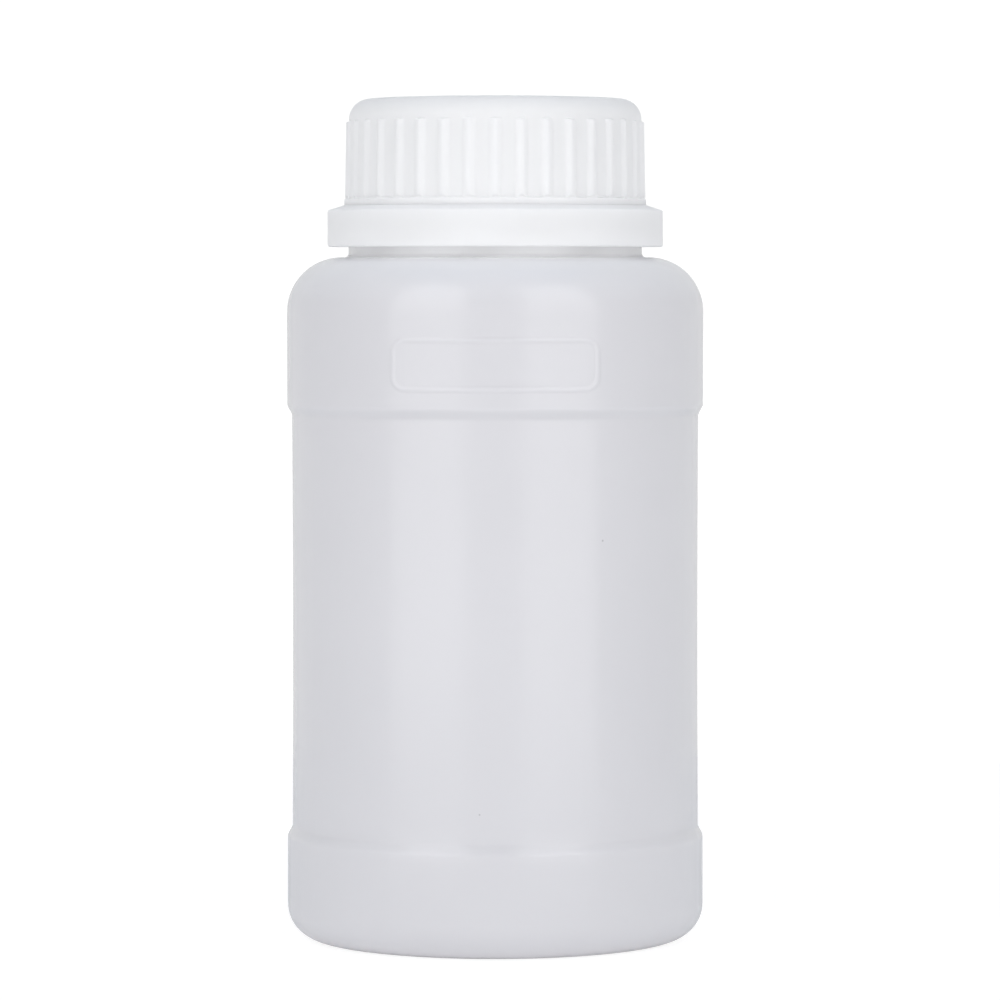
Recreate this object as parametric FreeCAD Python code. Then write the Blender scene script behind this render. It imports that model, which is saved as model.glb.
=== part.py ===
import FreeCAD, Part
import math
import os

# Reagent bottle of 250 ml with a tamper-evident screw cap.
# Millimetres, +Z up, origin at the centre of the base, front of the bottle towards -Y.

# Bottle body
body_diameter = 61.0        # across the two full bands
body_height = 100.0         # base to the flat top of the shoulder
wall = 1.1
shoulder_radius = 8.0
base_corner_radius = 6.0
base_band_height = 15.0     # base to the start of the lower ledge
upper_band_height = 13.4    # lower edge of the upper band to the start of the shoulder
panel_recess = 0.7          # how far the label panel lies inside the bands
ledge_height = 1.8          # height of the slope between a band and the panel
contact_ring_width = 2.0    # flat ring that the bottle stands on
push_up_height = 1.6        # rise of the base's middle
push_up_slope = 3.0         # width of the cone around the raised middle
inner_flats = 3             # flats that each rounded corner has on the hidden inside

# Raised frame on the front of the upper band
frame_width = 29.8          # straight across, as seen from the front
frame_height = 6.8
frame_foot = 2.45           # lower edge of the upper band to the frame
frame_corner = 2.1
frame_line = 0.7
frame_relief = 0.2

# Neck
neck_diameter = 37.2        # outside of the plain wall that carries the screw thread
neck_wall = 1.6
neck_height = 20.3          # top of the shoulder to the rim
rim_chamfer = 0.35
collar_step = 2.9           # how far the collar below the thread stands out from the neck
collar_chamfer = 0.6
bead_overhang = 1.4         # how far the retaining bead stands out from the collar
bead_land = 0.8
bead_ramp = 1.5             # height of the cone that leads the band over the bead

# Tamper band
band_gap = 1.5              # shoulder to the band's lower edge
band_wall = 1.2
band_web = 1.0              # the band's flat top, under the cap's skirt
band_clearance = 0.45       # bead to the band's inner wall
band_edge = 0.3             # chamfer of the band's outer edges
flap_count = 8
flap_angle = 30.0
flap_foot = 0.4             # band's lower edge to the root of a flap
flap_thickness = 0.8
flap_lift = 0.5             # how much higher a flap's tip is than its root
flap_clearance = 0.4        # flap to the collar and to the bead
slit = 0.3                  # gap between the band and the cap
bridge_count = 12
bridge_width = 1.0
bridge_depth = 1.0

# Screw cap and liner
thread_room = 1.4           # neck to the inside of the skirt, where the two threads lie
skirt_wall = 1.2
skirt_draft = 0.2           # how much wider the skirt is at its foot
foot_ring_height = 1.3      # plain ring below the ribs
foot_ring_chamfer = 0.25
cap_top = 1.6
cap_corner_radius = 2.8
rib_count = 36
rib_width = 0.9             # at its root inside the skirt's wall
rib_tip_width = 0.5
rib_height = 0.65
rib_end_gap = 0.1           # upper ends of the ribs to the cap's rounded corner
ring_lip = 0.05             # how far the plain ring stands out past the ribs
liner_thickness = 1.2
liner_clearance = 0.3       # liner to the inside of the skirt
liner_bead = 0.6            # ring inside the skirt that keeps the liner in the cap

# Radii that follow
body_radius = body_diameter / 2
panel_radius = body_radius - panel_recess
neck_radius = neck_diameter / 2
bore_radius = neck_radius - neck_wall
collar_radius = neck_radius + collar_step
bead_radius = collar_radius + bead_overhang
band_inner_radius = bead_radius + band_clearance
band_radius = band_inner_radius + band_wall
skirt_inner_radius = neck_radius + thread_room
skirt_top_radius = skirt_inner_radius + skirt_wall
skirt_foot_radius = skirt_top_radius + skirt_draft
foot_ring_radius = skirt_foot_radius + rib_height + ring_lip
liner_radius = skirt_inner_radius - liner_clearance
shoulder_bend = min(shoulder_radius, body_radius - collar_radius - collar_chamfer)
cap_bend = min(cap_corner_radius, skirt_wall + cap_top)

# Heights that follow
lower_ledge = base_band_height
upper_ledge = body_height - shoulder_bend - upper_band_height
rim = body_height + neck_height
band_foot = body_height + band_gap
flap_tip = band_foot + flap_foot + flap_lift + flap_thickness
bead_foot = flap_tip + flap_clearance
bead_top = bead_foot + bead_land
ramp_top = bead_top + bead_ramp
band_top = ramp_top + band_web
skirt_foot = band_top + slit
foot_ring_top = skirt_foot + foot_ring_height
cap_ceiling = rim + liner_thickness
cap_height = cap_ceiling + cap_top
skirt_top = cap_height - cap_bend
rib_top = skirt_top - rib_end_gap

axis_point = FreeCAD.Vector(0, 0, 0)
axis = FreeCAD.Vector(0, 0, 1)
shortest_edge = 1e-6
cubic_mm_per_ml = 1000


def at(radius, height):
    return FreeCAD.Vector(radius, 0, height)


def line(start, end):
    return Part.LineSegment(start, end).toShape()


def chain(points):
    return [line(a, b) for a, b in zip(points, points[1:])]


def rounded(centre, start, end):
    # A quarter circle around a centre.
    towards = (start - centre) + (end - centre)
    through = centre + towards.normalize() * (start - centre).Length
    return [Part.Arc(start, through, end).toShape()]


def faceted(centre, start, end):
    # The same quarter circle as a few flats.
    points = []
    for k in range(inner_flats + 1):
        turn = math.radians(90.0 * k / inner_flats)
        points.append(centre + (start - centre) * math.cos(turn) + (end - centre) * math.sin(turn))
    return chain(points)


def turned(edges, angle=360):
    outline = Part.Wire(Part.sortEdges(edges)[0])
    return Part.Face(outline).revolve(axis_point, axis, angle)


def around(shape, count):
    # Copies of a shape, evenly spaced about the axis.
    copies = []
    for k in range(count):
        turned_copy = shape.copy()
        turned_copy.rotate(axis_point, axis, 360.0 * k / count)
        copies.append(turned_copy)
    return copies


def body_side(inset, bent):
    # The wall from the base corner to the shoulder's top, moved in by inset, with its corners bent.
    outer = body_radius - inset
    panel = panel_radius - inset
    corner = base_corner_radius - inset
    bend = shoulder_bend - inset
    corner_centre = at(outer - corner, base_corner_radius)
    bend_centre = at(outer - bend, body_height - shoulder_bend)
    start = at(outer - corner, inset)
    end = at(outer - bend, body_height - inset)
    side = [
        at(outer, base_corner_radius),
        at(outer, lower_ledge),
        at(panel, lower_ledge + ledge_height),
        at(panel, upper_ledge - ledge_height),
        at(outer, upper_ledge),
        at(outer, body_height - shoulder_bend),
    ]
    edges = bent(corner_centre, start, side[0]) + chain(side) + bent(bend_centre, side[-1], end)
    return edges, start, end


def base_floor(inset, ring_end):
    # The base from its middle out to ring_end, raised inside the contact ring.
    ring_inner = body_radius - base_corner_radius - contact_ring_width
    middle = at(0, push_up_height + inset)
    edges = chain([
        middle,
        at(ring_inner - push_up_slope, push_up_height + inset),
        at(ring_inner, inset),
        ring_end,
    ])
    return edges, middle


def neck_outside(shoulder_end):
    points = [
        at(collar_radius + collar_chamfer, body_height),
        at(collar_radius, body_height + collar_chamfer),
        at(collar_radius, bead_foot),
        at(bead_radius, bead_foot),
        at(bead_radius, bead_top),
        at(neck_radius, ramp_top),
        at(neck_radius, rim - rim_chamfer),
        at(neck_radius - rim_chamfer, rim),
        at(bore_radius, rim),
    ]
    if shoulder_end.x - points[0].x > shortest_edge:
        points.insert(0, shoulder_end)
    return chain(points)


def neck_inside(shoulder_end):
    inner_collar = collar_radius - wall
    bend_top = at(inner_collar, body_height + collar_chamfer)
    bend_foot = at(inner_collar + collar_chamfer + wall, body_height - wall)
    flare_foot = max(bead_foot - wall / 2, bend_top.z + wall / 2)
    points = [
        at(bore_radius, rim),
        at(bore_radius, ramp_top - wall),
        at(inner_collar, flare_foot),
        bend_top,
        bend_foot,
    ]
    if shoulder_end.x - bend_foot.x > shortest_edge:
        points.append(shoulder_end)
    return chain(points)


def raised_frame():
    # A line of even width around a rectangle with rounded corners, wrapped on the upper band.
    middle = upper_ledge + frame_foot + frame_height / 2
    half_width = frame_width / 2 - frame_corner
    half_height = frame_height / 2 - frame_corner
    core = Part.makePolygon([
        at(-half_width, middle - half_height),
        at(half_width, middle - half_height),
        at(half_width, middle + half_height),
        at(-half_width, middle + half_height),
        at(-half_width, middle - half_height),
    ])
    outer = Part.Face(core.makeOffset2D(frame_corner))
    inner = Part.Face(core.makeOffset2D(frame_corner - frame_line))
    towards_front = FreeCAD.Vector(0, -2 * body_radius, 0)
    bar = outer.cut(inner).extrude(towards_front)
    tube_foot = FreeCAD.Vector(0, 0, middle - frame_height)
    tube = Part.makeCylinder(body_radius + frame_relief, 2 * frame_height, tube_foot)
    tube = tube.cut(Part.makeCylinder(body_radius - wall / 2, 2 * frame_height, tube_foot))
    return bar.common(tube)


def make_bottle():
    outside, outer_ring, outer_shoulder = body_side(0, rounded)
    inside, inner_ring, inner_shoulder = body_side(wall, faceted)
    outer_base, outer_middle = base_floor(0, outer_ring)
    inner_base, inner_middle = base_floor(wall, inner_ring)
    edges = outer_base + outside + neck_outside(outer_shoulder)
    edges += neck_inside(inner_shoulder) + inside + inner_base
    edges.append(line(inner_middle, outer_middle))
    return turned(edges).fuse(raised_frame()).removeSplitter()


def cap_rib():
    # One grip rib, narrower at its tip, that leans with the skirt's draft and ends in the plain ring.
    foot = skirt_foot + foot_ring_height / 2
    buried = skirt_foot_radius - skirt_wall / 2
    tip = skirt_foot_radius + rib_height
    section = Part.makePolygon([
        FreeCAD.Vector(buried, -rib_width / 2, foot),
        FreeCAD.Vector(tip, -rib_tip_width / 2, foot),
        FreeCAD.Vector(tip, rib_tip_width / 2, foot),
        FreeCAD.Vector(buried, rib_width / 2, foot),
        FreeCAD.Vector(buried, -rib_width / 2, foot),
    ])
    lean = skirt_draft * (rib_top - foot) / (skirt_top - foot_ring_top)
    return Part.Face(section).extrude(at(-lean, rib_top - foot))


def make_cap():
    bend_start = at(skirt_top_radius - cap_bend, cap_height)
    bend_end = at(skirt_top_radius, skirt_top)
    bend_centre = at(skirt_top_radius - cap_bend, skirt_top)
    edges = [line(at(0, cap_height), bend_start)]
    edges += rounded(bend_centre, bend_start, bend_end)
    edges += chain([
        bend_end,
        at(skirt_foot_radius, foot_ring_top),
        at(foot_ring_radius - foot_ring_chamfer, foot_ring_top),
        at(foot_ring_radius, foot_ring_top - foot_ring_chamfer),
        at(foot_ring_radius, skirt_foot),
        at(skirt_inner_radius, skirt_foot),
        at(skirt_inner_radius, rim - 2 * liner_bead),
        at(skirt_inner_radius - liner_bead, rim - liner_bead),
        at(skirt_inner_radius, rim),
        at(skirt_inner_radius, cap_ceiling),
        at(0, cap_ceiling),
        at(0, cap_height),
    ])
    return turned(edges).multiFuse(around(cap_rib(), rib_count)).removeSplitter()


def make_liner():
    return Part.makeCylinder(liner_radius, liner_thickness, FreeCAD.Vector(0, 0, rim))


def band_flap():
    # A barb that points up and in, so that the band slides down over the bead and can't come back.
    root = band_foot + flap_foot
    buried = band_inner_radius + band_wall / 2
    tip = collar_radius + flap_clearance
    barb = chain([
        at(buried, root),
        at(band_inner_radius, root),
        at(tip, root + flap_lift),
        at(tip, flap_tip),
        at(band_inner_radius, flap_tip - flap_lift),
        at(buried, flap_tip - flap_lift),
        at(buried, root),
    ])
    return turned(barb, flap_angle)


def make_band():
    edges = chain([
        at(skirt_inner_radius, band_top),
        at(skirt_inner_radius, ramp_top),
        at(band_inner_radius, ramp_top),
        at(band_inner_radius, band_foot),
        at(band_radius - band_edge, band_foot),
        at(band_radius, band_foot + band_edge),
        at(band_radius, band_top - band_edge),
        at(band_radius - band_edge, band_top),
        at(skirt_inner_radius, band_top),
    ])
    return turned(edges).multiFuse(around(band_flap(), flap_count)).removeSplitter()


def make_bridges():
    # Thin tabs that join the band's web to the foot of the skirt until the cap is first turned.
    middle = (skirt_inner_radius + foot_ring_radius) / 2
    corner = FreeCAD.Vector(middle - bridge_depth / 2, -bridge_width / 2, band_top)
    return Part.Compound(around(Part.makeBox(bridge_depth, bridge_width, slit, corner), bridge_count))


def capacity():
    # What the bottle holds when filled to the rim, in millilitres.
    inside, ring, shoulder = body_side(wall, faceted)
    base, middle = base_floor(wall, ring)
    edges = neck_inside(shoulder) + inside + base
    edges += chain([middle, at(0, rim), at(bore_radius, rim)])
    return turned(edges).Volume / cubic_mm_per_ml


def main():
    os.makedirs("parts", exist_ok=True)
    nodes = {
        "bottle": make_bottle(),
        "screw_cap": make_cap(),
        "cap_liner": make_liner(),
        "tamper_band": make_band(),
        "break_bridges": make_bridges(),
    }
    for name, shape in nodes.items():
        shape.exportStep(f"parts/{name}.step")
        print(name, "solids", len(shape.Solids), "valid", shape.isValid(), "mm3", round(shape.Volume, 1))
    print("brimful capacity, ml:", round(capacity(), 1))


main()
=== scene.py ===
import bpy
import math
import numpy as np
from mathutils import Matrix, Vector


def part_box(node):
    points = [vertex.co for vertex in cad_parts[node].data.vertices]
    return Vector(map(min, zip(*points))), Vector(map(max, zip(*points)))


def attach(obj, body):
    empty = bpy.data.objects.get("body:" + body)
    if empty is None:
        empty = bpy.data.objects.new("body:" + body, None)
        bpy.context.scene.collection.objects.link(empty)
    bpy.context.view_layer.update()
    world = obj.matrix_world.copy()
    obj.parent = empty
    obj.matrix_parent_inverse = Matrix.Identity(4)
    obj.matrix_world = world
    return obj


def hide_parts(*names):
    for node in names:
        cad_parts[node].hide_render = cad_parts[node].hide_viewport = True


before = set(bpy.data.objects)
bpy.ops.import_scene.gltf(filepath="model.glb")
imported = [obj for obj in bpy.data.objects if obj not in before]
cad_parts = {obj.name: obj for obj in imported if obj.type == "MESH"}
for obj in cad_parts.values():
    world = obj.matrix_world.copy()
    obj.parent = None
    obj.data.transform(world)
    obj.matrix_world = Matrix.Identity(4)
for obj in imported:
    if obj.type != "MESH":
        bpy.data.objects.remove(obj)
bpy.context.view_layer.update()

mm = 0.001                # profiles are drawn in millimetres, meshes are in metres
frontTurn = 270.0         # degrees round the axis where the bottle looks at the camera
smoothEdge = 38.0         # edges sharper than this stay crisp
columnStep = 2.5          # degrees between the columns of a turned piece
leastStep = 0.06          # columns closer than this become one
noiseSpan = (0.3, 0.7)    # where most values of a noise lie


def roundNode(node):    # radius, foot and top of a turned CAD node
    low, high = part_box(node)
    return high.x / mm, low.z / mm, high.z / mm


bodyRadius, _, rimHeight = roundNode("bottle")
ringRadius, skirtFoot, capHeight = roundNode("screw_cap")
bandRadius, bandFoot, bandTop = roundNode("tamper_band")
linerRadius, linerFoot, linerTop = roundNode("cap_liner")


# Drawing helpers. A profile is a list of (radius, height, stretch name), outside on its right hand.

def run(stretch, start, end, count):    # straight, its last point left to the next stretch
    steps = [k / count for k in range(count)]
    return [(start[0] + (end[0] - start[0]) * t, start[1] + (end[1] - start[1]) * t, stretch) for t in steps]


def bend(stretch, centre, radius, first, last, count):    # arc from one angle to another
    turns = [math.radians(first + (last - first) * k / count) for k in range(count)]
    return [(centre[0] + radius * math.cos(a), centre[1] + radius * math.sin(a), stretch) for a in turns]


def sway(stretch, start, end, count):    # S-curve that leaves and arrives upright
    points = []
    for k in range(count):
        t = k / count
        swing = t * t * (3 - 2 * t)
        points.append((start[0] + (end[0] - start[0]) * swing, start[1] + (end[1] - start[1]) * t, stretch))
    return points


def rise(low, high, value):    # 0 below low, 1 above high, smooth between
    t = np.clip((value - low) / (high - low), 0, 1)
    return t * t * (3 - 2 * t)


def grids(profile, turns):    # radius, height and turn as columns and a row, for reliefs
    radius = np.array([p[0] for p in profile])[:, None]
    height = np.array([p[1] for p in profile])[:, None]
    return radius, height, np.radians(np.array(turns))[None, :]


def onStretch(profile, *stretches):
    return np.array([p[2] in stretches for p in profile], float)[:, None]


def gatherTurns(fineStep, spans):    # even columns, with finer ones between pairs of angles
    turns = list(np.arange(0, 360, columnStep))
    for first, last in spans:
        turns += list(np.arange(first, last + fineStep / 2, fineStep) % 360)
    turns = np.unique(np.round(turns, 3))
    apart = np.diff(turns, append=turns[0] + 360)
    return turns[apart > leastStep]


def turnPiece(name, profile, turns, relief=0.0, loop=False):    # a lathe that lifts its surface by the relief
    rows = np.array([p[:2] for p in profile])
    ahead, behind = np.roll(rows, -1, axis=0), np.roll(rows, 1, axis=0)
    if not loop:
        ahead[-1], behind[0] = rows[-1], rows[0]
    along = ahead - behind
    along = along / np.linalg.norm(along, axis=1, keepdims=True)
    angles = np.radians(turns)[None, :]
    radius = rows[:, :1] + along[:, 1:] * relief
    height = rows[:, 1:] - along[:, :1] * relief + 0 * angles
    points = np.stack([radius * np.cos(angles), radius * np.sin(angles), height], axis=2) * mm
    width = len(turns)
    here = np.arange(width)
    beside = np.roll(here, -1)
    if loop:
        places = points.reshape(-1, 3)
        starts = np.arange(len(rows)) * width
        uppers = np.roll(starts, -1)
        caps = []
    else:
        places = np.vstack([points[0, :1], points[1:-1].reshape(-1, 3), points[-1, :1]])
        starts = 1 + np.arange(len(rows) - 3) * width
        uppers = starts + width
        last = uppers[-1]
        top = len(places) - 1
        caps = [(0, 1 + b, 1 + a) for a, b in zip(here, beside)]
        caps += [(last + a, last + b, top) for a, b in zip(here, beside)]
    quads = [np.stack([s + here, s + beside, u + beside, u + here], axis=1) for s, u in zip(starts, uppers)]
    faces = np.concatenate(quads).tolist() + [tuple(int(i) for i in face) for face in caps]
    mesh = bpy.data.meshes.new(name)
    mesh.from_pydata(places.tolist(), [], faces)
    mesh.shade_smooth()
    mesh.set_sharp_from_angle(angle=math.radians(smoothEdge))
    piece = bpy.data.objects.new(name, mesh)
    bpy.context.scene.collection.objects.link(piece)
    return piece


# Material helpers

def startMaterial(name, sockets):
    material = bpy.data.materials.new(name)
    material.use_nodes = True
    shader = material.node_tree.nodes["Principled BSDF"]
    for socket, value in sockets.items():
        shader.inputs[socket].default_value = value
    return material, material.node_tree, shader


def addPlace(tree, grain, stretch=(1, 1, 1)):    # object coordinates counted in grains of so many millimetres
    coordinates = tree.nodes.new("ShaderNodeTexCoord")
    mapping = tree.nodes.new("ShaderNodeMapping")
    mapping.inputs["Scale"].default_value = [s / (grain * mm) for s in stretch]
    tree.links.new(coordinates.outputs["Object"], mapping.inputs["Vector"])
    return mapping.outputs["Vector"]


def addNoise(tree, grain, stretch=(1, 1, 1), detail=2.0):
    noise = tree.nodes.new("ShaderNodeTexNoise")
    noise.inputs["Scale"].default_value = 1.0
    noise.inputs["Detail"].default_value = detail
    tree.links.new(addPlace(tree, grain, stretch), noise.inputs["Vector"])
    return noise.outputs["Fac"]


def addCells(tree, grain):    # distance to the nearest of many scattered points, in grains
    cells = tree.nodes.new("ShaderNodeTexVoronoi")
    cells.inputs["Scale"].default_value = 1.0
    tree.links.new(addPlace(tree, grain), cells.inputs["Vector"])
    return cells.outputs["Distance"]


def addHeight(tree, low, high):    # 0 at one height above the base and 1 at another, in millimetres
    coordinates = tree.nodes.new("ShaderNodeTexCoord")
    split = tree.nodes.new("ShaderNodeSeparateXYZ")
    tree.links.new(coordinates.outputs["Object"], split.inputs["Vector"])
    return addRange(tree, split.outputs["Z"], (low * mm, high * mm), (0, 1))


def addRange(tree, value, fromRange, toRange):
    node = tree.nodes.new("ShaderNodeMapRange")
    for socket, number in zip(("From Min", "From Max", "To Min", "To Max"), (*fromRange, *toRange)):
        node.inputs[socket].default_value = number
    tree.links.new(value, node.inputs["Value"])
    return node.outputs["Result"]


def addTints(tree, value, tints):    # colours along a value, as (position, colour) pairs
    ramp = tree.nodes.new("ShaderNodeValToRGB")
    stops = ramp.color_ramp.elements
    for k, (position, colour) in enumerate(tints):
        stop = stops[k] if k < 2 else stops.new(position)
        stop.position = position
        stop.color = (*colour, 1.0)
    tree.links.new(value, ramp.inputs["Fac"])
    return ramp.outputs["Color"]


def addDarkening(tree, colour, share):    # multiplies a colour by a value
    node = tree.nodes.new("ShaderNodeVectorMath")
    node.operation = "SCALE"
    tree.links.new(colour, node.inputs[0])
    tree.links.new(share, node.inputs["Scale"])
    return node.outputs["Vector"]


def addBump(tree, height, depth, under=None):    # depth in millimetres
    bump = tree.nodes.new("ShaderNodeBump")
    bump.inputs["Distance"].default_value = depth * mm
    tree.links.new(height, bump.inputs["Height"])
    if under is not None:
        tree.links.new(under, bump.inputs["Normal"])
    return bump.outputs["Normal"]


# Bottle, blow-moulded in milky polyethylene

bottleForm = {
    "wall": 1.1,
    "baseCorner": 5.2,
    "contactRing": 2.8,
    "pushUp": 1.6,            # rise of the base inside the ring it stands on
    "pushUpDome": 0.3,
    "pushUpSlope": 4.6,
    "lowerLedge": 15.0,
    "ledgeHeight": 1.8,
    "panelRecess": 0.7,
    "panelHollow": 0.08,      # how far the panel draws in at half height
    "upperBand": 13.4,
    "shoulder": 8.0,
    "waviness": 0.05,         # how far the wall may sink in slow swells
    "waveRise": (0.071, 0.043),    # radians of a swell in a millimetre of height
    "wavePhase": (0.9, 0.4, 2.1),
    "calmFoot": (6, 24),      # heights between which the swells begin and end
    "calmTop": (84, 99),
    "partingWidth": 0.14,
    "partingHeight": 0.05,
    "partingDip": 5,          # the dip beside the parting line is so many times as wide
    "partingSpan": 2.4,       # degrees of finer columns on each side of it
    "fineStep": 0.2,
    "pinchLength": 13.0,      # half of the weld across the base
    "pinchWidth": 0.5,
    "pinchHeight": 0.35,
    "pinchFade": 0.8,         # share of its length where it starts to run out
}
frameForm = {
    "width": 29.8,
    "height": 7.7,
    "foot": 2.3,              # above the lower edge of the upper band
    "corner": 2.1,
    "line": 0.7,
    "lineCrest": 0.3,         # the line's full height and its foot, in half line widths from its middle
    "lineFoot": 1.4,
    "relief": 0.1,
    "margin": 0.3,            # fine rows and columns reach this far past the line
}
neckForm = {
    "height": 20.3,
    "outer": 18.6,
    "bore": 17.0,
    "collar": 21.5,
    "collarFillet": 0.6,
    "bead": 22.9,
    "beadFoot": 103.6,
    "beadLand": 0.8,
    "beadRamp": 1.5,
    "edge": 0.2,
    "rim": 0.4,
}
threadForm = {
    "lead": 4.2,
    "foot": 109.6,            # height of the ridge's middle where it starts
    "turns": 2.1,
    "fade": 0.07,             # share of a turn in which an end runs out
    "crest": 0.12,            # half of the flat top, as a share of the width
    "neckHeight": 1.1,
    "neckWidth": 2.1,
    "capHeight": 0.95,
    "capWidth": 1.7,
    "capDrop": 1.35,          # the cap's ridge lies this far under the neck's
}
plasticLook = {
    "IOR": 1.54,
    "Subsurface Weight": 1.0,
    "Subsurface Radius": (1.0, 1.0, 1.0),
    "Subsurface Scale": 0.0005,
}
plasticTintAndPaintedLight = [    # share of the height up to the neck, and the colour there: the plastic's tint, with painted shade that darkens the upper body and painted light that makes the shoulder's top and the neck nearly white, lightening the shaded gap under the band
    (0.0, (0.79, 0.783, 0.8)),
    (0.45, (0.801, 0.794, 0.811)),
    (0.93, (0.777, 0.771, 0.789)),
    (0.985, (0.85, 0.85, 0.87)),
    (1.0, (0.998, 0.998, 0.998)),
]
plasticFinish = {
    "cloudGrain": 26,         # grains and depths in millimetres
    "cloudShade": (0.985, 1.0),
    "speckGrain": 9,
    "speckSize": (0.014, 0.022),
    "speckShade": (0.75, 1.0),
    "glossGrain": 7,
    "gloss": (0.17, 0.23),    # roughness from and to
    "flowGrain": 2.2,
    "flowStretch": (1, 1, 0.04),
    "flowDepth": 0.012,
    "skinGrain": 0.9,
    "skinDepth": 0.006,
}


def bottleProfile(form, neck):
    shoulderTop = rimHeight - neck["height"]
    ringOuter = bodyRadius - form["baseCorner"]
    ringInner = ringOuter - form["contactRing"]
    middle = ringInner - form["pushUpSlope"]
    panel = bodyRadius - form["panelRecess"]
    ledge = form["ledgeHeight"]
    shoulderFoot = shoulderTop - form["shoulder"]
    upperLedge = shoulderFoot - form["upperBand"]
    frameLow = upperLedge + frameForm["foot"] - frameForm["margin"]
    frameHigh = frameLow + frameForm["height"] + 2 * frameForm["margin"]
    frameCorner = frameForm["corner"] + frameForm["margin"]
    low, high = form["lowerLedge"] + ledge, upperLedge - ledge
    shoulderInner, fillet, edge = bodyRadius - form["shoulder"], neck["collarFillet"], neck["edge"]
    collar, bead, beadFoot = neck["collar"], neck["bead"], neck["beadFoot"]
    beadTop = beadFoot + neck["beadLand"]
    rampTop = beadTop + neck["beadRamp"]

    points = [(0, form["pushUp"] + form["pushUpDome"], "base")]
    for k in range(1, 12):
        t = k / 12
        points.append((middle * t, form["pushUp"] + form["pushUpDome"] * (1 - t * t), "base"))
    for k in range(10):
        t = k / 10
        points.append((middle + form["pushUpSlope"] * t, form["pushUp"] * (1 - rise(0, 1, t)), "base"))
    points += run("base", (ringInner, 0), (ringOuter, 0), 2)
    points += bend("body", (ringOuter, form["baseCorner"]), form["baseCorner"], -90, 0, 16)
    points += run("body", (bodyRadius, form["baseCorner"]), (bodyRadius, form["lowerLedge"]), 5)
    points += sway("body", (bodyRadius, form["lowerLedge"]), (panel, low), 10)
    for k in range(30):
        t = k / 30
        points.append((panel - form["panelHollow"] * 4 * t * (1 - t), low + (high - low) * t, "body"))
    points += sway("body", (panel, high), (bodyRadius, upperLedge), 10)
    stages = [upperLedge, frameLow, frameLow + frameCorner, frameHigh - frameCorner, frameHigh, shoulderFoot]
    for start, end, rows in zip(stages, stages[1:], (2, 18, 3, 18, 3)):    # fine rows at the frame's corners
        points += run("body", (bodyRadius, start), (bodyRadius, end), rows)
    points += bend("body", (shoulderInner, shoulderFoot), form["shoulder"], 0, 90, 20)
    points += run("collar", (shoulderInner, shoulderTop), (collar + fillet, shoulderTop), 1)
    points += bend("collar", (collar + fillet, shoulderTop + fillet), fillet, 270, 180, 6)
    points += run("collar", (collar, shoulderTop + fillet), (collar, beadFoot), 3)
    points += run("collar", (collar, beadFoot), (bead - edge, beadFoot), 2)
    points += bend("collar", (bead - edge, beadFoot + edge), edge, -90, 0, 4)
    points += bend("collar", (bead - edge, beadTop - edge), edge, 0, 70, 4)
    points += run("collar", (bead - edge, beadTop), (neck["outer"], rampTop), 6)
    points += run("neck", (neck["outer"], rampTop), (neck["outer"], rimHeight - neck["rim"]), 72)
    points += bend("rim", (neck["outer"] - neck["rim"], rimHeight - neck["rim"]), neck["rim"], 0, 90, 5)
    points += run("rim", (neck["outer"] - neck["rim"], rimHeight), (neck["bore"] + neck["rim"], rimHeight), 2)
    points += bend("rim", (neck["bore"] + neck["rim"], rimHeight - neck["rim"]), neck["rim"], 90, 180, 5)

    wall = form["wall"]
    inner, innerCollar = bodyRadius - wall, collar - wall
    flare = fillet + wall
    points += run("inside", (neck["bore"], rimHeight - neck["rim"]), (neck["bore"], rampTop - wall), 6)
    points += sway("inside", (neck["bore"], rampTop - wall), (innerCollar, beadFoot - wall / 2), 8)
    points += run("inside", (innerCollar, beadFoot - wall / 2), (innerCollar, shoulderTop + fillet), 2)
    points += bend("inside", (innerCollar + flare, shoulderTop + fillet), flare, 180, 270, 6)
    points += bend("inside", (shoulderInner, shoulderFoot), form["shoulder"] - wall, 90, 0, 10)
    points += run("inside", (inner, shoulderFoot), (inner, upperLedge), 2)
    points += sway("inside", (inner, upperLedge), (panel - wall, high), 6)
    points += run("inside", (panel - wall, high), (panel - wall, low), 8)
    points += sway("inside", (panel - wall, low), (inner, form["lowerLedge"]), 6)
    points += run("inside", (inner, form["lowerLedge"]), (inner, form["baseCorner"]), 2)
    points += bend("inside", (ringOuter, form["baseCorner"]), form["baseCorner"] - wall, 0, -90, 8)
    points += run("inside", (ringOuter, wall), (ringInner, wall), 1)
    for k in range(8):
        t = k / 8
        points.append((ringInner - form["pushUpSlope"] * t, wall + form["pushUp"] * rise(0, 1, t), "inside"))
    for k in range(4):
        t = k / 4
        points.append((middle * (1 - t), wall + form["pushUp"] + form["pushUpDome"] * t * (2 - t), "inside"))
    points.append((0, wall + form["pushUp"] + form["pushUpDome"], "inside"))
    return points, (frameLow + frameHigh) / 2


def threadRidge(height, turn, foot, width, ridge):    # a right-hand ridge that climbs by one lead a turn
    form = threadForm
    lift = 0 * height * turn
    for lap in range(-1, int(form["turns"]) + 2):
        travel = turn / (2 * math.pi) + lap
        away = np.abs(height - foot - form["lead"] * travel)
        ends = rise(0, form["fade"], travel) * rise(0, form["fade"], form["turns"] - travel)
        lift = np.maximum(lift, ends * (1 - rise(form["crest"] * width, width / 2, away)))
    return ridge * lift


def frameLine(x, z):    # height of the raised line round a rectangle with rounded corners
    form = frameForm
    inset = form["line"] / 2
    corner = form["corner"] - inset
    across = np.abs(x) - (form["width"] / 2 - form["corner"])
    up = np.abs(z) - (form["height"] / 2 - form["corner"])
    outside = np.hypot(np.maximum(across, 0), np.maximum(up, 0))
    away = np.abs(outside + np.minimum(np.maximum(across, up), 0) - corner)
    return form["relief"] * (1 - rise(form["lineCrest"] * inset, form["lineFoot"] * inset, away))


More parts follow.
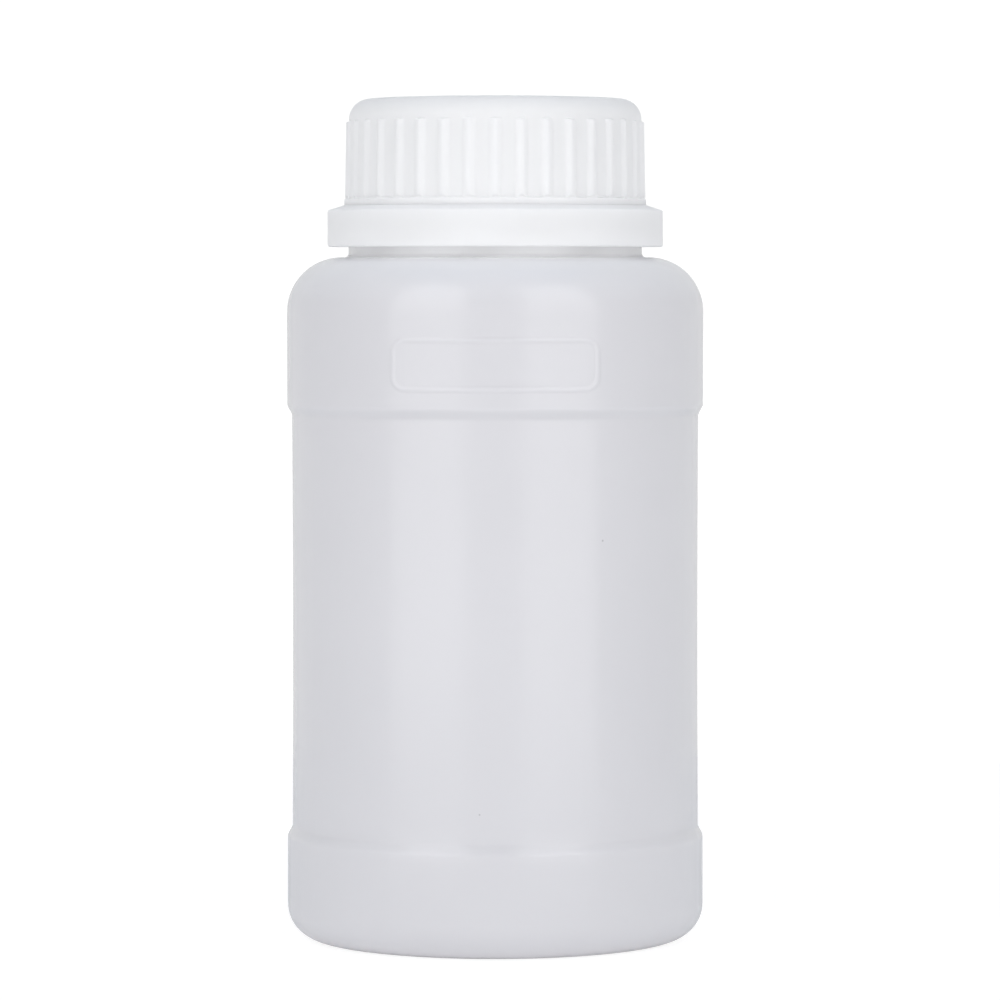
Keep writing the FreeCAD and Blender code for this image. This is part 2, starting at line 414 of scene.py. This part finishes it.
def bottleRelief(profile, turns, form, frameMiddle):
    radius, height, turn = grids(profile, turns)
    x, y = radius * np.cos(turn), radius * np.sin(turn)
    body = onStretch(profile, "body")
    outer = onStretch(profile, "body", "collar", "neck")
    base = onStretch(profile, "base")
    relief = body * (y < 0) * frameLine(x, height - frameMiddle)
    first, second, third = form["wavePhase"]
    short, long = form["waveRise"]
    ripple = np.sin(2 * turn + first) * np.sin(short * height + second)
    ripple = ripple + np.sin(3 * turn - long * height + third)
    calm = rise(*form["calmFoot"], height) * (1 - rise(*form["calmTop"], height))    # the ends keep true
    relief = relief + body * calm * form["waviness"] * (ripple - 2) / 4    # never outwards
    line = form["partingWidth"]
    seam = np.exp(-(y / line) ** 2) - np.exp(-(y / (form["partingDip"] * line)) ** 2)
    relief = relief + outer * form["partingHeight"] * seam
    ends = rise(form["pinchFade"], 1, np.abs(x) / form["pinchLength"])
    weld = np.exp(-(y / form["pinchWidth"]) ** 2) * (1 - ends)
    relief = relief + base * form["pinchHeight"] * weld
    thread = threadRidge(height, turn, threadForm["foot"], threadForm["neckWidth"], threadForm["neckHeight"])
    return relief + onStretch(profile, "neck") * thread


def milkyPlastic():
    finish = plasticFinish
    material, tree, shader = startMaterial("milkyPolyethylene", plasticLook)
    neckFoot = rimHeight - neckForm["height"] + neckForm["collarFillet"]
    # colour by height: the plastic's tint with painted shade on the upper body and painted light on the
    # shoulder's top and the neck
    tint = addTints(tree, addHeight(tree, 0, neckFoot), plasticTintAndPaintedLight)
    cloud = addRange(tree, addNoise(tree, finish["cloudGrain"], detail=3), noiseSpan, finish["cloudShade"])
    specks = addRange(tree, addCells(tree, finish["speckGrain"]), finish["speckSize"], finish["speckShade"])
    tree.links.new(addDarkening(tree, addDarkening(tree, tint, cloud), specks), shader.inputs["Base Color"])
    gloss = addRange(tree, addNoise(tree, finish["glossGrain"], detail=4), noiseSpan, finish["gloss"])
    tree.links.new(gloss, shader.inputs["Roughness"])
    flow = addNoise(tree, finish["flowGrain"], stretch=finish["flowStretch"])
    flow = addBump(tree, flow, finish["flowDepth"])    # upright lines left by the melt
    skin = addBump(tree, addNoise(tree, finish["skinGrain"], detail=3), finish["skinDepth"], flow)
    tree.links.new(skin, shader.inputs["Normal"])
    return material


def makeBottle():
    profile, frameMiddle = bottleProfile(bottleForm, neckForm)
    halfWidth = frameForm["width"] / 2
    corner = math.degrees(math.asin((halfWidth + frameForm["margin"]) / bodyRadius))
    inside = math.degrees(math.asin((halfWidth - frameForm["corner"]) / bodyRadius))
    parting = bottleForm["partingSpan"]
    turns = gatherTurns(bottleForm["fineStep"], [
        (frontTurn - corner, frontTurn - inside),
        (frontTurn + inside, frontTurn + corner),
        (-parting, parting),
        (180 - parting, 180 + parting),
    ])
    piece = turnPiece("bottle_shell", profile, turns, bottleRelief(profile, turns, bottleForm, frameMiddle))
    piece.data.materials.append(milkyPlastic())
    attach(piece, "bottle")
    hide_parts("bottle")
    print("bottle:", len(profile), "rows,", len(turns), "columns")


# Screw cap, injection-moulded in white polypropylene

capForm = {
    "skirtInner": 20.0,
    "skirtTop": 21.4,
    "skirtFoot": 21.6,
    "ringHeight": 1.3,
    "ringEdge": 0.1,
    "ringFillet": 0.3,
    "corner": 3.0,
    "topThickness": 1.6,
    "ceilingFillet": 0.4,
    "footChamfer": 0.3,
    "ribCount": 36,
    "ribColumns": (           # millimetres from a rib's middle
        -1.86, -1.3, -1.05, -0.85, -0.65, -0.45, -0.23, 0.0, 0.23, 0.45, 0.65, 0.85, 1.05, 1.3,
    ),
    "ribHeight": 0.4,
    "ribCrown": 0.07,         # share of the height lost at the tip's edges
    "ribHalfTip": 0.12,
    "ribHalfFoot": 1.05,
    "ribTop": 119.85,
    "ribEnd": (-0.16, 0.06),  # its upper end runs out between these, from the rib's top
    "ribEndRows": (-0.3, 0.1),    # finer rows lie between these
    "linerBead": 0.6,
    "gateDimple": 2.08,       # radius of the shallow dimple in the middle of the top
    "gateSlope": (1.04, 1.95),    # radii where its floor ends and the flat top begins
    "gateDepth": 0.14,
    "gateNub": (0.252, 0.42),     # radii of the stub's top and foot
    "gateNubHeight": 0.7,         # share of the dimple's depth
}
capLook = {
    "IOR": 1.5,
    "Specular IOR Level": 0.1,
    "Subsurface Weight": 1.0,
    "Subsurface Radius": (1.0, 1.0, 1.0),
    "Subsurface Scale": 0.0016,
}
capTints = {"clear": (0.98, 0.98, 0.984), "dense": (0.988, 0.988, 0.991)}
capFinish = {"meltGrain": 14, "glossGrain": 4, "gloss": (0.44, 0.54), "skinGrain": 0.5, "skinDepth": 0.004}


def capProfile(form):
    ceiling = capHeight - form["topThickness"]
    inner, bead = form["skirtInner"], form["linerBead"]
    inset, chamfer = form["ceilingFillet"], form["footChamfer"]
    edge, fillet = form["ringEdge"], form["ringFillet"]
    ringTop = skirtFoot + form["ringHeight"]
    skirtTop = capHeight - form["corner"]
    flat = form["skirtTop"] - form["corner"]
    fineLow, fineHigh = [form["ribTop"] + offset for offset in form["ribEndRows"]]
    lean = (form["skirtTop"] - form["skirtFoot"]) / (skirtTop - ringTop)

    def skirt(height):
        return form["skirtFoot"] + lean * (height - ringTop), height

    points = run("ceiling", (0, ceiling), (inner - inset, ceiling), 8)
    points += bend("ceiling", (inner - inset, ceiling - inset), inset, 90, 0, 4)
    points += run("ceiling", (inner, ceiling - inset), (inner, rimHeight), 1)
    points += sway("ceiling", (inner, rimHeight), (inner - bead, rimHeight - bead), 5)
    points += sway("ceiling", (inner - bead, rimHeight - bead), (inner, rimHeight - 2 * bead), 5)
    points += run("thread", (inner, rimHeight - 2 * bead), (inner, skirtFoot + chamfer), 56)
    points += run("foot", (inner, skirtFoot + chamfer), (inner + chamfer, skirtFoot), 2)
    points += run("foot", (inner + chamfer, skirtFoot), (ringRadius - edge, skirtFoot), 3)
    points += bend("foot", (ringRadius - edge, skirtFoot + edge), edge, -90, 0, 4)
    points += run("foot", (ringRadius, skirtFoot + edge), (ringRadius, ringTop - edge), 2)
    points += bend("foot", (ringRadius - edge, ringTop - edge), edge, 0, 90, 4)
    points += run("foot", (ringRadius - edge, ringTop), (form["skirtFoot"] + fillet, ringTop), 2)
    points += bend("skirt", (form["skirtFoot"] + fillet, ringTop + fillet), fillet, 270, 180, 4)
    points += run("skirt", skirt(ringTop + fillet), skirt(fineLow), 14)
    points += run("skirt", skirt(fineLow), skirt(fineHigh), 8)
    points += run("skirt", skirt(fineHigh), skirt(skirtTop), 1)
    points += bend("corner", (flat, skirtTop), form["corner"], 0, 90, 18)
    points += run("top", (flat, capHeight), (form["gateDimple"], capHeight), 10)
    for k in range(9):    # shallow dimple with the gate's stub in it
        radius = form["gateDimple"] * (1 - k / 8)
        sunk = 1 - rise(*form["gateSlope"], radius)
        stub = form["gateNubHeight"] * (1 - rise(*form["gateNub"], radius))
        points.append((radius, capHeight - form["gateDepth"] * sunk * (1 - stub), "top"))
    return points


def ribRadius(form):    # at half the height of the ribs
    return form["skirtFoot"] + form["ribHeight"] / 2


def capRelief(profile, turns, form):
    radius, height, turn = grids(profile, turns)
    pitch = 2 * math.pi / form["ribCount"]
    away = np.abs((turn + pitch / 2) % pitch - pitch / 2) * ribRadius(form)
    crown = form["ribCrown"] * np.minimum(away / form["ribHalfTip"], 1) ** 2
    rib = (1 - crown) * (1 - rise(form["ribHalfTip"], form["ribHalfFoot"], away))
    length = 1 - rise(*form["ribEnd"], height - form["ribTop"])
    ribs = onStretch(profile, "skirt") * form["ribHeight"] * rib * length
    foot = threadForm["foot"] - threadForm["capDrop"]
    thread = threadRidge(height, turn, foot, threadForm["capWidth"], threadForm["capHeight"])
    return ribs + onStretch(profile, "thread") * thread


def whitePlastic(name, look, tints):
    finish = capFinish
    material, tree, shader = startMaterial(name, look)
    melt = addNoise(tree, finish["meltGrain"], detail=3)
    tint = addTints(tree, melt, list(zip(noiseSpan, (tints["clear"], tints["dense"]))))
    tree.links.new(tint, shader.inputs["Base Color"])
    gloss = addRange(tree, addNoise(tree, finish["glossGrain"], detail=4), noiseSpan, finish["gloss"])
    tree.links.new(gloss, shader.inputs["Roughness"])
    skin = addBump(tree, addNoise(tree, finish["skinGrain"], detail=3), finish["skinDepth"])
    tree.links.new(skin, shader.inputs["Normal"])
    return material


def makeCap(material):
    pitch = 360 / capForm["ribCount"]
    columns = np.degrees(np.array(capForm["ribColumns"]) / ribRadius(capForm))
    turns = np.concatenate([k * pitch + columns for k in range(capForm["ribCount"])])
    turns = np.sort(turns % 360)
    profile = capProfile(capForm)
    piece = turnPiece("ribbed_cap", profile, turns, capRelief(profile, turns, capForm))
    piece.data.materials.append(material)
    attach(piece, "cap")
    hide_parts("screw_cap")
    print("cap:", capForm["ribCount"], "ribs,", len(profile), "rows")


# Tamper band with barbs inside, and the bridges that hold it to the cap

bandForm = {
    "inner": 23.35,
    "webInner": 20.0,
    "webFoot": 105.9,
    "lipSlope": 18.0,         # degrees by which the top rises towards the cap's foot ring
    "lipGap": 0.2,            # from that ring to the lip
    "edge": 0.3,
    "barbCount": 8,
    "barbAngle": 30.0,
    "barbFade": 0.15,         # a barb's ends run out over this angle to each side
    "barbSpan": 0.3,          # degrees of finer columns to each side of an end
    "fineStep": 0.1,
    "barbFoot": 0.4,
    "barbThickness": 0.8,
    "barbLift": 0.5,
    "barbTip": 21.9,
}
bridgeLook = {**capLook, "Subsurface Weight": 0.0}    # too small to carry light on
bridgeTints = {"clear": (0.86, 0.86, 0.865), "dense": (0.88, 0.88, 0.885)}


def bandProfiles(form):    # the ring's outline with a barb, and with the barb's points drawn back to the wall
    edge, inner, webInner = form["edge"], form["inner"], form["webInner"]
    slope = math.radians(form["lipSlope"])
    lipInner = ringRadius + form["lipGap"]
    lipOuter, lipFoot = bandRadius - edge * (1 - math.sin(slope)), bandTop - edge * (1 - math.cos(slope))
    lipTop = lipFoot + (lipOuter - lipInner) * math.tan(slope)
    root = bandFoot + form["barbFoot"]
    tipTop = root + form["barbLift"] + form["barbThickness"]
    outline = run("ring", (inner, bandFoot), (bandRadius - edge, bandFoot), 3)
    outline += bend("ring", (bandRadius - edge, bandFoot + edge), edge, -90, 0, 6)
    outline += run("ring", (bandRadius, bandFoot + edge), (bandRadius, bandTop - edge), 6)
    outline += bend("ring", (bandRadius - edge, bandTop - edge), edge, 0, 90 - form["lipSlope"], 6)
    outline += run("ring", (lipOuter, lipFoot), (lipInner, lipTop), 4)
    outline += run("ring", (lipInner, lipTop), (lipInner, bandTop), 2)
    outline += run("ring", (lipInner, bandTop), (webInner, bandTop), 4)
    outline += run("ring", (webInner, bandTop), (webInner, form["webFoot"]), 3)
    outline += run("ring", (webInner, form["webFoot"]), (inner, form["webFoot"]), 4)
    outline += run("ring", (inner, form["webFoot"]), (inner, tipTop - form["barbLift"]), 5)
    barb = run("barb", (inner, tipTop - form["barbLift"]), (form["barbTip"], tipTop), 4)
    barb += run("barb", (form["barbTip"], tipTop), (form["barbTip"], root + form["barbLift"]), 2)
    barb += run("barb", (form["barbTip"], root + form["barbLift"]), (inner, root), 4)
    wall = run("barb", (inner, tipTop - form["barbLift"]), (inner, root), len(barb))
    foot = run("ring", (inner, root), (inner, bandFoot), 2)
    return outline + barb + foot, outline + wall + foot


def makeBand(material):
    form = bandForm
    pitch = 360 / form["barbCount"]
    ends = [k * pitch + angle for k in range(form["barbCount"]) for angle in (0, form["barbAngle"])]
    span, fade = form["barbSpan"], form["barbFade"]
    turns = gatherTurns(form["fineStep"], [(end - span, end + span) for end in ends])
    withBarb, plain = bandProfiles(form)
    piece = turnPiece("tamper_ring", withBarb, turns, loop=True)
    angle = turns % pitch
    angle = np.where(angle > pitch - 1, angle - pitch, angle)    # just before a barb counts as negative
    share = rise(-fade, fade, angle) * (1 - rise(-fade, fade, angle - form["barbAngle"]))
    back = np.array([p[:2] for p in plain])[:, None, :] - np.array([p[:2] for p in withBarb])[:, None, :]
    back = back * (1 - share)[None, :, None] * mm
    turn = np.radians(turns)[None, :]
    places = np.array([v.co for v in piece.data.vertices]).reshape(len(withBarb), len(turns), 3)
    places += np.stack([back[..., 0] * np.cos(turn), back[..., 0] * np.sin(turn), back[..., 1]], axis=2)
    piece.data.vertices.foreach_set("co", places.astype(np.float32).ravel())
    piece.data.update()
    piece.data.set_sharp_from_angle(angle=math.radians(smoothEdge))
    piece.data.materials.append(material)
    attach(piece, "band")
    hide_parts("tamper_band")
    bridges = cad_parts["break_bridges"]
    bridges.data.materials.clear()
    bridges.data.materials.append(whitePlastic("bridgePolypropylene", bridgeLook, bridgeTints))
    print("band:", form["barbCount"], "barbs")


# Foam liner, pressed by the rim

linerForm = {"edge": 0.2, "pressDepth": 0.16, "pressEdge": 0.35}
foamLook = {"IOR": 1.45}
foamTints = [(0.1, (0.8, 0.8, 0.775)), (0.6, (0.87, 0.87, 0.855))]    # from a cell's middle outwards
foamFinish = {"cellGrain": 0.5, "cellDepth": 0.05, "glossGrain": 2, "gloss": (0.68, 0.82)}


def closedCellFoam():
    finish = foamFinish
    material, tree, shader = startMaterial("closedCellFoam", foamLook)
    cells = addCells(tree, finish["cellGrain"])
    tree.links.new(addTints(tree, cells, foamTints), shader.inputs["Base Color"])
    gloss = addRange(tree, addNoise(tree, finish["glossGrain"]), noiseSpan, finish["gloss"])
    tree.links.new(gloss, shader.inputs["Roughness"])
    tree.links.new(addBump(tree, cells, finish["cellDepth"]), shader.inputs["Normal"])
    return material


def makeLiner():
    form, neck = linerForm, neckForm
    edge, soft = form["edge"], form["pressEdge"]
    points = []
    for k in range(80):
        radius = (linerRadius - edge) * k / 80
        pressed = rise(-soft, soft, radius - neck["bore"]) * (1 - rise(-soft, soft, radius - neck["outer"]))
        points.append((radius, linerFoot + form["pressDepth"] * pressed, "under"))
    points += bend("under", (linerRadius - edge, linerFoot + edge), edge, -90, 0, 4)
    points += run("side", (linerRadius, linerFoot + edge), (linerRadius, linerTop - edge), 2)
    points += bend("side", (linerRadius - edge, linerTop - edge), edge, 0, 90, 4)
    points += run("upper", (linerRadius - edge, linerTop), (0, linerTop), 8)
    points.append((0, linerTop, "upper"))
    piece = turnPiece("foam_liner", points, np.arange(0, 360, columnStep))
    piece.data.materials.append(closedCellFoam())
    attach(piece, "liner")
    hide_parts("cap_liner")
    print("liner: pressed ring", neck["bore"], "to", neck["outer"], "mm")


# Studio

studioSet = {
    "eye": (0.0, -0.794, 0.0988),
    "target": (0.0007, 0.0, 0.0644),
    "lens": 194.9,                     # millimetres, on a sensor of this width
    "sensor": 36.0,
    "bounces": 40,                     # light goes through several milky walls
    "backdrop": 1.06,                  # white behind the object
    "roomTint": (0.52, 0.52, 0.535),   # light that the front and the sides of the room throw back
    "backTint": (0.755, 0.76, 0.76),
    "backStart": (0.3, 0.8),
    "ceilingTint": (0.34, 0.42, 0.52),
    "ceilingStart": (0.78, 0.92),
    "hoodTint": (0.15, 0.16, 0.18),    # dark place over the camera, between the softboxes
    "hoodRise": 42.0,
    "hoodEdge": (0.86, 0.95),          # cosines of the angle from its middle
    "tableRadius": 0.3,
    "tableSides": 96,
    "tableDrop": 0.00005,              # under the base, so that the two faces don't share a plane
    "tableTint": (0.93, 0.93, 0.93, 1.0),
    "tableRoughness": 0.9,
    "tableGlow": 1.17,                 # bleaches the table, so that only a faint shadow shows on it
    "tableBleach": 0.7,
    "tableShine": 0.06,                # a little light of its own, which softens the shade round the foot
    "boxTurns": {"Left": -38.5, "Right": 37.0},    # softboxes beside the camera, degrees from it
}
softboxSet = {"distance": 1.0, "height": 0.41, "size": (0.78, 2.5), "power": 6.0}
brightSet = {"distance": 0.99, "height": 0.77, "size": (0.78, 1.05), "power": 1.15}    # their brighter part


def pointAt(thing, target):
    thing.rotation_euler = (Vector(target) - thing.location).to_track_quat("-Z", "Y").to_euler()


def addGlow(tree, kind, colour=(1, 1, 1), strength=1.0):
    node = tree.nodes.new(kind)
    node.inputs["Color"].default_value = (*colour, 1.0)
    node.inputs["Strength"].default_value = strength
    return node


def mixShaders(tree, share, first, second):
    node = tree.nodes.new("ShaderNodeMixShader")
    for socket, output in zip(node.inputs, (share, first, second)):
        tree.links.new(output, socket)
    return node.outputs[0]


def makeRoom(studio):    # soft light from all round, dimmer and bluer above, with a dark hood over the camera
    world = bpy.data.worlds.new("paleRoom")
    world.use_nodes = True
    tree = world.node_tree
    direction = tree.nodes.new("ShaderNodeTexCoord").outputs["Generated"]
    split = tree.nodes.new("ShaderNodeSeparateXYZ")
    tree.links.new(direction, split.inputs["Vector"])
    towards = tree.nodes.new("ShaderNodeVectorMath")
    towards.operation = "DOT_PRODUCT"
    tree.links.new(direction, towards.inputs[0])
    lift = math.radians(studio["hoodRise"])
    towards.inputs[1].default_value = (0, -math.cos(lift), math.sin(lift))
    behind = addRange(tree, split.outputs["Y"], studio["backStart"], (0, 1))
    above = addRange(tree, split.outputs["Z"], studio["ceilingStart"], (0, 1))
    under = addRange(tree, towards.outputs["Value"], studio["hoodEdge"], (0, 1))
    walls = tree.nodes["Background"]
    tint = addTints(tree, behind, [(0, studio["roomTint"]), (1, studio["backTint"])])
    tree.links.new(tint, walls.inputs["Color"])
    ceiling = addGlow(tree, "ShaderNodeBackground", studio["ceilingTint"])
    hood = addGlow(tree, "ShaderNodeBackground", studio["hoodTint"])
    backdrop = addGlow(tree, "ShaderNodeBackground", strength=studio["backdrop"])
    seen = tree.nodes.new("ShaderNodeLightPath").outputs["Is Camera Ray"]
    room = mixShaders(tree, above, walls.outputs[0], ceiling.outputs[0])
    room = mixShaders(tree, under, room, hood.outputs[0])
    room = mixShaders(tree, seen, room, backdrop.outputs[0])
    tree.links.new(room, tree.nodes["World Output"].inputs["Surface"])
    return world


def makeTable(studio):
    mesh = bpy.data.meshes.new("table")
    radius, sides = studio["tableRadius"], studio["tableSides"]
    turns = [2 * math.pi * k / sides for k in range(sides)]
    rim = [(radius * math.cos(a), radius * math.sin(a), -studio["tableDrop"]) for a in turns]
    mesh.from_pydata(rim, [], [tuple(range(sides))])
    table = bpy.data.objects.new("table", mesh)
    bpy.context.scene.collection.objects.link(table)
    material, tree, shader = startMaterial("palePaper", {
        "Base Color": studio["tableTint"],
        "Roughness": studio["tableRoughness"],
        "Specular IOR Level": 0.0,
        "Emission Color": (1, 1, 1, 1),
        "Emission Strength": studio["tableShine"],
    })
    glow = addGlow(tree, "ShaderNodeEmission", strength=studio["tableGlow"])
    seen = tree.nodes.new("ShaderNodeLightPath").outputs["Is Camera Ray"]
    bleach = addRange(tree, seen, (0, 1), (0, studio["tableBleach"]))
    paper = mixShaders(tree, bleach, shader.outputs[0], glow.outputs[0])
    tree.links.new(paper, tree.nodes["Material Output"].inputs["Surface"])
    mesh.materials.append(material)


def makeSoftbox(name, form, turn):
    light = bpy.data.lights.new(name, "AREA")
    light.shape = "RECTANGLE"
    light.size, light.size_y = form["size"]
    light.energy = form["power"]
    box = bpy.data.objects.new(name, light)
    a, distance, height = math.radians(turn), form["distance"], form["height"]
    box.location = (distance * math.sin(a), -distance * math.cos(a), height)
    bpy.context.scene.collection.objects.link(box)
    pointAt(box, (0, 0, height))
    box.visible_camera = False


def makeStudio():
    scene = bpy.context.scene
    studio = studioSet
    scene.view_settings.view_transform = "Standard"
    scene.view_settings.look = "None"
    scene.cycles.max_bounces = studio["bounces"]
    scene.cycles.diffuse_bounces = studio["bounces"]
    scene.world = makeRoom(studio)
    makeTable(studio)
    for side, turn in studio["boxTurns"].items():
        makeSoftbox("softbox" + side, softboxSet, turn)
        makeSoftbox("softboxBright" + side, brightSet, turn)

    lens = bpy.data.cameras.new("camera")
    lens.sensor_width = studio["sensor"]
    lens.lens = studio["lens"]
    camera = bpy.data.objects.new("camera", lens)
    camera.location = studio["eye"]
    scene.collection.objects.link(camera)
    pointAt(camera, studio["target"])
    scene.camera = camera
    print("studio: floor,", len(studio["boxTurns"]), "softboxes, camera")


makeStudio()
makeBottle()
capPlastic = whitePlastic("whitePolypropylene", capLook, capTints)
makeCap(capPlastic)
makeBand(capPlastic)
makeLiner()
